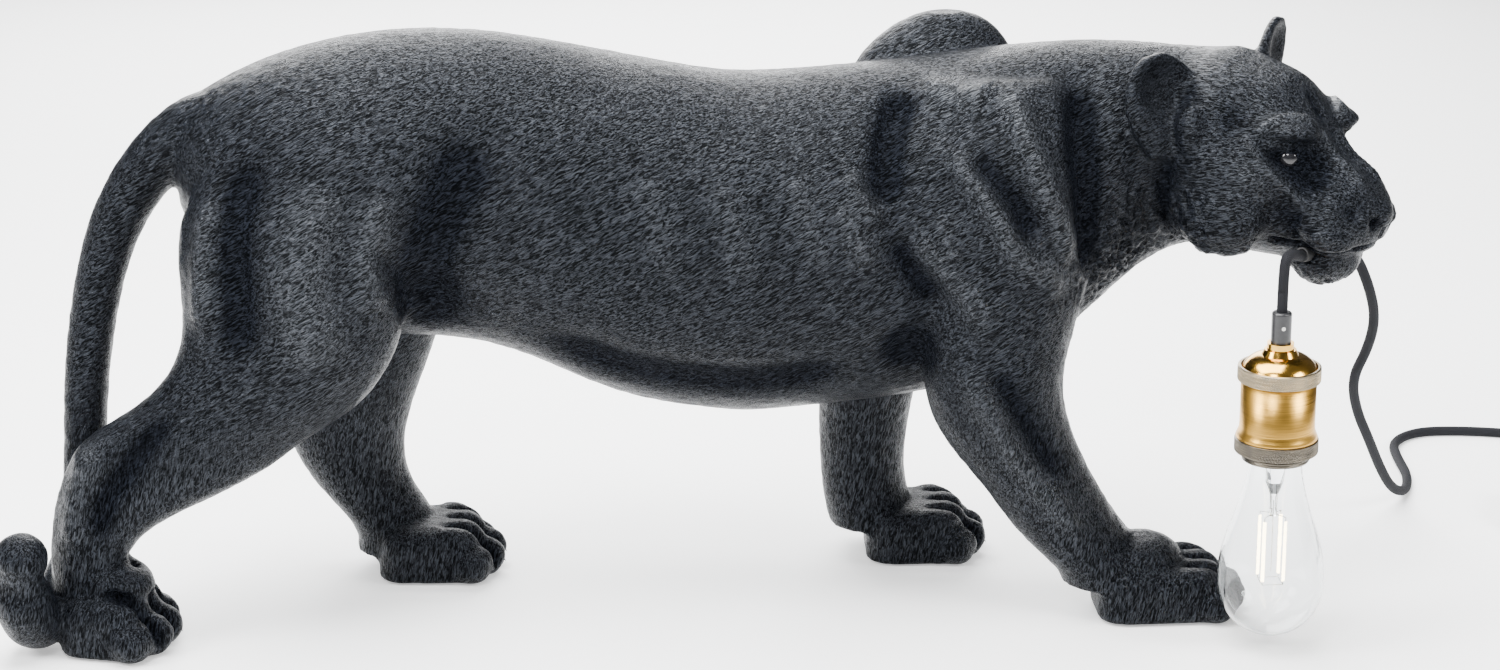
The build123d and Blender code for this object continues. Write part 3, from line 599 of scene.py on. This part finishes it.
# locks of longer hair under the throat and behind the jaw, and a fine unevenness all over
def addTufts(body):
    mesh = body.data
    places, normals = skinArrays(mesh)
    lift = np.zeros(len(places))
    for place, radius, height in tufts:
        spot = np.array(at(*place))
        weight = np.exp(-(np.linalg.norm(places - spot, axis=1) / (radius / 1000)) ** 2)
        for i in np.where(weight > 0.05)[0]:
            x, y, z = places[i] * 1000
            lock = noise.noise(Vector((x / 5.0 + z / 14.0, y / 5.0, z / 16.0 + 7)))
            lift[i] += height / 1000 * weight[i] * (1 - 2.2 * abs(lock))
    for i in range(len(places)):
        x, y, z = places[i] * 1000
        lift[i] += 0.00035 * noise.noise(Vector((x / 6.0, y / 6.0, z / 6.0)))
    sole = np.clip((places[:, 2] - 0.001) / 0.006, 0, 1)
    places = places + normals * (lift * sole)[:, None]
    places[:, 2] = np.maximum(places[:, 2], 0.001)
    setPlaces(mesh, places)


# how much of the skin has upright leg fur and how much head fur
def strokeDirections(body):
    mesh = body.data
    places, normals = skinArrays(mesh)
    x, y, z = (places[:, 0] - offsetX) * 1000, (places[:, 1] - offsetY) * 1000, places[:, 2] * 1000
    legs = np.clip((165 - z) / 60, 0, 1)
    head = np.clip((x - 225) / 40, 0, 1) * np.clip((z - 190) / 30, 0, 1)
    for name, values in (("legFur", legs), ("headFur", head)):
        attribute = mesh.attributes.new(name, "FLOAT", "POINT")
        attribute.data.foreach_set("value", values.astype(np.float32))


resin = {
    "dark": (0.0012, 0.0014, 0.0018),
    "light": (0.0085, 0.0102, 0.0148),
    "roughness": (0.24, 0.4),
    "shine": (0.03, 0.27),
    # how the fold height scales the shine: painted highlight on ridges, painted shade in creases
    "paintedReliefSheen": (0.15, 2.3),
    "strokes": (190, 950),
    "leans": {"body": 28, "legs": 78, "head": 12},
}


# streaks that run along one direction of the body
def furNoise(tree, lean, yaw, salt):
    coords = tree.nodes.new("ShaderNodeTexCoord")
    turnYaw = node(tree, "ShaderNodeMapping")
    turnYaw.inputs["Rotation"].default_value = (0, 0, yaw)
    turnLean = node(tree, "ShaderNodeMapping")
    turnLean.inputs["Rotation"].default_value = (0, math.radians(lean), 0)
    stretch = node(tree, "ShaderNodeMapping")
    along, across = resin["strokes"]
    stretch.inputs["Scale"].default_value = (along, across, across)
    stretch.inputs["Location"].default_value = (salt, salt * 2, 0)
    tree.links.new(coords.outputs["Object"], turnYaw.inputs["Vector"])
    tree.links.new(turnYaw.outputs["Vector"], turnLean.inputs["Vector"])
    tree.links.new(turnLean.outputs["Vector"], stretch.inputs["Vector"])
    streaks = node(tree, "ShaderNodeTexNoise", Scale=1.0, Detail=2.0, Roughness=0.55, Distortion=0.9)
    tree.links.new(stretch.outputs["Vector"], streaks.inputs["Vector"])
    return streaks


def mixBy(tree, attribute, first, second):
    weight = node(tree, "ShaderNodeAttribute", attribute_name=attribute)
    mix = node(tree, "ShaderNodeMix", data_type="FLOAT")
    tree.links.new(weight.outputs["Fac"], mix.inputs[0])
    tree.links.new(first, mix.inputs[2])
    tree.links.new(second, mix.inputs[3])
    return mix.outputs[0]


def resinMaterial():
    material, tree, shader = newMaterial("blackResinFur")
    body = furNoise(tree, resin["leans"]["body"], 0, 0)
    legs = furNoise(tree, resin["leans"]["legs"], 0, 3)
    head = furNoise(tree, resin["leans"]["head"], headYaw, 6)
    streaks = mixBy(tree, "legFur", body.outputs["Fac"], legs.outputs["Fac"])
    streaks = mixBy(tree, "headFur", streaks, head.outputs["Fac"])
    coords = tree.nodes.new("ShaderNodeTexCoord")
    cloud = node(tree, "ShaderNodeTexNoise", Scale=26.0, Detail=3.0)
    tree.links.new(coords.outputs["Object"], cloud.inputs["Vector"])
    colour = ramp(tree, streaks, 0.44, 0.66, resin["dark"], resin["light"])
    tree.links.new(colour.outputs["Color"], shader.inputs["Base Color"])
    gloss = node(tree, "ShaderNodeMapRange")
    gloss.inputs["To Min"].default_value, gloss.inputs["To Max"].default_value = resin["roughness"]
    gloss.inputs["From Min"].default_value = 0.3
    gloss.inputs["From Max"].default_value = 0.7
    tree.links.new(cloud.outputs["Fac"], gloss.inputs["Value"])
    tree.links.new(gloss.outputs["Result"], shader.inputs["Roughness"])
    shine = node(tree, "ShaderNodeMapRange")
    shine.inputs["From Min"].default_value = 0.42
    shine.inputs["From Max"].default_value = 0.68
    shine.inputs["To Min"].default_value, shine.inputs["To Max"].default_value = resin["shine"]
    tree.links.new(streaks, shine.inputs["Value"])
    # painted highlight and painted shade: the fold height scales the stroke shine, so ridges glint more and
    # creases stay duller
    relief = node(tree, "ShaderNodeAttribute", attribute_name="relief")
    paintedReliefSheen = node(tree, "ShaderNodeMapRange")
    paintedReliefSheen.inputs["To Min"].default_value, paintedReliefSheen.inputs["To Max"].default_value = resin["paintedReliefSheen"]
    tree.links.new(relief.outputs["Fac"], paintedReliefSheen.inputs["Value"])
    shineWithPaintedRelief = node(tree, "ShaderNodeMath", operation="MULTIPLY")
    tree.links.new(shine.outputs["Result"], shineWithPaintedRelief.inputs[0])
    tree.links.new(paintedReliefSheen.outputs["Result"], shineWithPaintedRelief.inputs[1])
    tree.links.new(shineWithPaintedRelief.outputs[0], shader.inputs["Specular IOR Level"])
    shader.inputs["Specular Tint"].default_value = (0.86, 0.92, 1.0, 1)
    bumpOn(tree, shader, streaks, 0.8, 0.0018)
    return material


def makePanther():
    body = sculpt()
    addRelief(body)
    addEars(body)
    addTufts(body)
    strokeDirections(body)
    body.data.polygons.foreach_set("use_smooth", [True] * len(body.data.polygons))
    paint(body, resinMaterial())
    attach(body, "root")
    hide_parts("panther_casting")


makePanther()
print("panther sculpted")

eyes = {"radius": 7.2, "places": [(-58.5, -22.0, 294.5), (-58.5, 22.0, 294.5)]}
claws = {"length": 5.0, "thick": 1.8}


def glossMaterial(name, colour, roughness, scale=120.0):
    material, tree, shader = newMaterial(name)
    coords = tree.nodes.new("ShaderNodeTexCoord")
    grain = node(tree, "ShaderNodeTexNoise", Scale=scale, Detail=2.0)
    tree.links.new(coords.outputs["Object"], grain.inputs["Vector"])
    darker, paler = [c * 0.7 for c in colour], [min(1, c * 1.25) for c in colour]
    shade = ramp(tree, grain.outputs["Fac"], 0.3, 0.75, darker, paler)
    tree.links.new(shade.outputs["Color"], shader.inputs["Base Color"])
    shader.inputs["Roughness"].default_value = roughness
    bumpOn(tree, shader, grain.outputs["Fac"], 0.12, 0.0003)
    return material


def makeEyes():
    bm = bmesh.new()
    for forward, left, z in eyes["places"]:
        addBall(bm, inHead(forward, left, z), [eyes["radius"]] * 3, 0)
    mesh = bpy.data.meshes.new("eyes")
    bm.to_mesh(mesh)
    bm.free()
    mesh.polygons.foreach_set("use_smooth", [True] * len(mesh.polygons))
    balls = link(bpy.data.objects.new("eyes", mesh))
    paint(balls, glossMaterial("eyeGloss", (0.012, 0.012, 0.014), 0.12))
    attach(balls, "root")


# a short curved claw at the front of each toe
def makeClaws():
    verts, faces = [], []
    for paw in paws.values():
        for place, along, across, radius, height in toePlaces(paw):
            base = len(verts)
            rings, sides = 6, 8
            for i in range(rings):
                share = i / (rings - 1)
                size = claws["thick"] * (1 - share) ** 0.7 + 0.15
                centre = place + along * (radius * 0.72 + claws["length"] * share)
                drop = radius * 0.95 - 4.5 * share * share
                for k in range(sides):
                    turn = 2 * math.pi * k / sides
                    spot = centre + across * size * 0.7 * math.cos(turn)
                    verts.append(at(spot.x, spot.y, max(drop + size * math.sin(turn), 1.5)))
            for i in range(rings - 1):
                for k in range(sides):
                    n = (k + 1) % sides
                    faces.append((base + i * sides + k, base + i * sides + n, base + (i + 1) * sides + n,
                                  base + (i + 1) * sides + k))
            faces.append(tuple(base + k for k in reversed(range(sides))))
            faces.append(tuple(base + (rings - 1) * sides + k for k in range(sides)))
    made = meshObject("claws", verts, faces)
    paint(made, glossMaterial("clawGloss", (0.02, 0.021, 0.024), 0.3))
    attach(made, "root")


makeEyes()
makeClaws()
print("eyes and claws made")

holder = {
    "knurlColumns": 84,
    "knurlDepth": 0.42,
    "knurlPitch": 1.05,
    "threadPitch": 1.5,
    "threadDepth": 0.45,
    "brass": (0.74, 0.42, 0.075),
    "paleBrass": (0.33, 0.26, 0.16),
    "bronze": (0.15, 0.13, 0.10),
}


# metal with a fine grain, turned marks when it is brushed, and a darker patina
def metalMaterial(name, colour, roughness, brushed=0.0, patina=None):
    material, tree, shader = newMaterial(name)
    coords = tree.nodes.new("ShaderNodeTexCoord")
    place = node(tree, "ShaderNodeMapping")
    place.inputs["Scale"].default_value = (40, 40, 2600) if brushed else (160, 160, 160)
    tree.links.new(coords.outputs["Object"], place.inputs["Vector"])
    grain = node(tree, "ShaderNodeTexNoise", Scale=1.0, Detail=3.0)
    tree.links.new(place.outputs["Vector"], grain.inputs["Vector"])
    dark = patina or [c * 0.72 for c in colour]
    shade = ramp(tree, grain.outputs["Fac"], 0.3, 0.7, dark, colour)
    tree.links.new(shade.outputs["Color"], shader.inputs["Base Color"])
    shader.inputs["Metallic"].default_value = 1.0
    rough = node(tree, "ShaderNodeMapRange")
    rough.inputs["To Min"].default_value = roughness * 0.75
    rough.inputs["To Max"].default_value = roughness * 1.3
    tree.links.new(grain.outputs["Fac"], rough.inputs["Value"])
    tree.links.new(rough.outputs["Result"], shader.inputs["Roughness"])
    bumpOn(tree, shader, grain.outputs["Fac"], 0.1 + brushed, 0.0002)
    return material


polished = metalMaterial("polishedBrass", holder["brass"], 0.16)
brushed = metalMaterial("brushedBrass", holder["brass"], 0.3, 0.12, (0.46, 0.25, 0.045))
pale = metalMaterial("paleBrass", holder["paleBrass"], 0.3, 0.0, (0.22, 0.19, 0.14))
bronze = metalMaterial("darkBronze", holder["bronze"], 0.34, 0.0, (0.10, 0.09, 0.075))
steel = metalMaterial("brightSteel", (0.62, 0.61, 0.58), 0.28)


# a ring with crossed helical cuts all round it and plain rolled edges
def knurledRing(name, cadNode, body, material, inner):
    low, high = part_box(cadNode)
    outer = (high.x - low.x) * 500
    bottom, top = low.z * 1000, high.z * 1000
    columns = holder["knurlColumns"] * 6
    pitch = holder["knurlPitch"]
    rows = [bottom + 0.9 + (top - bottom - 1.8) * j / 22 for j in range(23)]
    edge = [(outer - 0.9, bottom), (outer - 0.15, bottom + 0.4)]
    cap = [(outer - 0.15, top - 0.4), (outer - 0.9, top)]
    outlines = []
    for i in range(columns):
        outline = list(edge)
        for z in rows:
            a = i / 6 + (z - bottom) / pitch
            b = i / 6 - (z - bottom) / pitch
            cut = min(abs(a % 1 - 0.5), abs(b % 1 - 0.5)) * 2
            outline.append((outer - holder["knurlDepth"] * (1 - min(1, cut * 2.2)), z))
        outlines.append(outline + cap + [(inner, top), (inner, bottom)])
    made = spun(name, outlines, smooth=False)
    paint(made, material)
    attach(made, body)
    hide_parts(cadNode)
    return made


knurledRing("upperKnurl", "joint_ring", "pendant", pale, 22.8)
knurledRing("lowerKnurl", "shade_ring", "shade_ring", bronze, 21.6)

barrelR = (barrelHigh.x - barrelLow.x) * 500
barrelZ0, barrelZ1 = barrelLow.z * 1000, barrelHigh.z * 1000
barrelOutline = [
    (barrelR - 1.2, barrelZ1), (barrelR - 1.2, barrelZ0 + 6), (barrelR - 0.8, barrelZ0 + 3),
    (barrelR + 0.6, barrelZ0), (barrelR + 1.8, barrelZ0), (barrelR + 1.9, barrelZ0 + 0.8),
    (barrelR + 1.2, barrelZ0 + 2.4), (barrelR + 0.35, barrelZ0 + 4.6), (barrelR + 0.05, barrelZ0 + 6.0),
    (barrelR, barrelZ0 + 6.6), (barrelR - 0.12, barrelZ0 + 7.0), (barrelR - 0.12, barrelZ1),
]
barrelShell = spun("barrelShell", [barrelOutline] * 96)
paint(barrelShell, brushed)
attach(barrelShell, "pendant")
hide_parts("barrel")


def threadedSkirt():
    low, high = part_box("threaded_skirt")
    outer = (high.x - low.x) * 500 - 1.0
    bottom, top = low.z * 1000, high.z * 1000
    pitch, depth, segments = holder["threadPitch"], holder["threadDepth"], 120
    steps = int((top - bottom) / pitch * 8)
    outlines = []
    for i in range(segments):
        outline = []
        for j in range(steps + 1):
            z = bottom + (top - bottom) * j / steps
            wave = abs(((z - bottom) / pitch + i / segments) % 1 - 0.5) * 2
            outline.append((outer - depth * wave, z))
        outlines.append(outline + [(outer - 1.4, top), (outer - 1.4, bottom)])
    made = spun("skirtThread", outlines)
    paint(made, bronze)
    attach(made, "pendant")
    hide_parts("threaded_skirt")


threadedSkirt()
print("lampholder turned")

bulb = {"emission": 14.0}


def glassMaterial(name, roughness):
    material, tree, shader = newMaterial(name)
    coords = tree.nodes.new("ShaderNodeTexCoord")
    ripple = node(tree, "ShaderNodeTexNoise", Scale=30.0, Detail=1.0)
    tree.links.new(coords.outputs["Object"], ripple.inputs["Vector"])
    shader.inputs["Base Color"].default_value = (0.97, 0.985, 0.99, 1)
    shader.inputs["Transmission Weight"].default_value = 1.0
    shader.inputs["Roughness"].default_value = roughness
    shader.inputs["IOR"].default_value = 1.45
    bumpOn(tree, shader, ripple.outputs["Fac"], 0.05, 0.0003)
    return material


def glowMaterial():
    material, tree, shader = newMaterial("filamentGlow")
    coords = tree.nodes.new("ShaderNodeTexCoord")
    beads = node(tree, "ShaderNodeTexNoise", Scale=900.0, Detail=1.0)
    tree.links.new(coords.outputs["Object"], beads.inputs["Vector"])
    colour = ramp(tree, beads.outputs["Fac"], 0.3, 0.7, (1.0, 0.78, 0.42), (1.0, 0.9, 0.66))
    tree.links.new(colour.outputs["Color"], shader.inputs["Base Color"])
    tree.links.new(colour.outputs["Color"], shader.inputs["Emission Color"])
    shader.inputs["Emission Strength"].default_value = bulb["emission"]
    return material


def wireObject(name, routes, thick, cadNode, body):
    curve = bpy.data.curves.new(name, "CURVE")
    curve.dimensions = "3D"
    curve.bevel_depth = thick / 2000
    curve.bevel_resolution = 3
    for points in routes:
        spline = curve.splines.new("POLY")
        spline.points.add(len(points) - 1)
        for point, (x, y, z) in zip(spline.points, points):
            point.co = (*at(pendantX + x, pendantY + y, z), 1)
    carrier = link(bpy.data.objects.new(name, curve))
    bpy.context.view_layer.update()
    mesh = bpy.data.meshes.new_from_object(carrier)
    bpy.data.objects.remove(carrier)
    made = link(bpy.data.objects.new(name, mesh))
    paint(made, steel)
    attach(made, body)
    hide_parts(cadNode)


# a spider of fine wire over the strips, and a ring of it under them
def makeWires():
    stripLow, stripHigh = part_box("filament_strips")
    top, low = stripHigh.z * 1000, stripLow.z * 1000
    upper, lower = [], []
    for i in range(4):
        turn = math.radians(45 + 90 * i)
        c, s = math.cos(turn), math.sin(turn)
        upper.append([(1.2 * c, 1.2 * s, top + 7), (2.5 * c, 2.5 * s, top + 3.2), (9 * c, 9 * s, top + 2.6),
                      (9 * c, 9 * s, top - 1.0)])
        after = math.radians(45 + 90 * (i + 1))
        lower.append([(9 * c, 9 * s, low + 1.0), (9 * c, 9 * s, low - 2.2),
                      (9 * math.cos(after), 9 * math.sin(after), low - 2.2)])
    for side in (-1, 1):
        upper.append([(side * 4.5, 0, top + 34), (side * 2.6, 0.6, top + 24), (side * 0.9, 0.2, top + 14),
                      (side * 1.1, 0, top + 6)])
    upper.append([(0, 0, top + 12), (0, 0, top + 2), (0.3, 0, top - 30), (0, 0, low + 4)])
    wireObject("upperWires", upper, 0.55, "upper_wires", "bulb")
    wireObject("lowerWires", lower, 0.55, "lower_wires", "bulb")


makeWires()
glass = glassMaterial("clearGlass", 0.0)
print("bulb wired")

# finishes of the parts that keep their shape
rubber = glossMaterial("blackRubber", (0.012, 0.012, 0.013), 0.6, 300.0)
plastic = glossMaterial("blackPlastic", (0.014, 0.014, 0.016), 0.34, 500.0)
felt = glossMaterial("feltPad", (0.02, 0.02, 0.022), 0.95, 900.0)
finishes = {
    "dome_cap": polished, "neck_collar": polished, "lock_nut": steel, "grip_screw": steel,
    "cord_grip": plastic,
    "porcelain_insert": glossMaterial("glazedPorcelain", (0.82, 0.8, 0.75), 0.18),
    "screw_shell": steel, "bulb_cap": steel, "tip_contact": steel, "live_screw": steel,
    "neutral_screw": steel,
    "centre_contact": pale, "cap_insulator": plastic, "bulb_glass": glass, "glass_stem": glass,
    "filament_strips": glowMaterial(), "mouth_sleeve": rubber, "coil_tie": rubber, "plug_relief": rubber,
    "switch_base": plastic, "switch_cover": plastic, "switch_rocker": plastic, "plug_body": plastic,
    "switch_screws": steel, "rocker_pin": steel, "switch_contacts": pale, "plug_pins": steel,
    "live_lead": glossMaterial("brownLead", (0.2, 0.06, 0.02), 0.4),
    "neutral_lead": glossMaterial("blueLead", (0.02, 0.08, 0.3), 0.4),
    "near_fore_pad": felt, "far_fore_pad": felt, "near_hind_pad": felt, "far_hind_pad": felt,
}
for name, material in finishes.items():
    paint(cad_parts[name], material)
for name in ("bulb_glass", "glass_stem", "dome_cap", "neck_collar", "cord_grip", "plug_relief"):
    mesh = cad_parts[name].data
    mesh.polygons.foreach_set("use_smooth", [True] * len(mesh.polygons))
print("finishes set:", len(finishes))

studio = {
    "floor": (0.86, 0.865, 0.87),
    "floorGlow": 0.5,
    "world": 0.12,
    "lights": [
        ("top", (-150, 50, 1350), (0, 0, 150), 1.3, 95),
        ("left", (-1500, -600, 1100), (-100, 0, 150), 0.7, 42),
        ("right", (1400, -800, 1000), (150, 0, 150), 0.6, 30),
        ("front", (-600, -1500, 1700), (0, 0, 150), 0.6, 30),
        ("back", (0, 1500, 1000), (0, 0, 250), 1.5, 80),
    ],
}


def makeFloor():
    size = 30
    corners = [(-size, -size, 0), (size, -size, 0), (size, size, 0), (-size, size, 0)]
    floor = meshObject("floor", corners, [(0, 1, 2, 3)])
    material, tree, shader = newMaterial("paleFloor")
    coords = tree.nodes.new("ShaderNodeTexCoord")
    grain = node(tree, "ShaderNodeTexNoise", Scale=3.0)
    tree.links.new(coords.outputs["Object"], grain.inputs["Vector"])
    shade = ramp(tree, grain.outputs["Fac"], 0.2, 0.8, [c * 0.99 for c in studio["floor"]], studio["floor"])
    tree.links.new(shade.outputs["Color"], shader.inputs["Base Color"])
    shader.inputs["Roughness"].default_value = 0.9
    shader.inputs["Emission Color"].default_value = (1, 1, 1, 1)
    shader.inputs["Emission Strength"].default_value = studio["floorGlow"]
    paint(floor, material)


def makeLights():
    world = bpy.data.worlds.new("studio")
    bpy.context.scene.world = world
    world.use_nodes = True
    world.node_tree.nodes["Background"].inputs["Color"].default_value = (1, 1, 1, 1)
    world.node_tree.nodes["Background"].inputs["Strength"].default_value = studio["world"]
    for name, place, target, size, power in studio["lights"]:
        data = bpy.data.lights.new(name, "AREA")
        data.size = size
        data.energy = power
        lamp = link(bpy.data.objects.new(name, data))
        lamp.location = at(*place)
        lamp.rotation_euler = (at(*target) - at(*place)).to_track_quat("-Z", "Y").to_euler()


makeFloor()
makeLights()
print("stage lit")
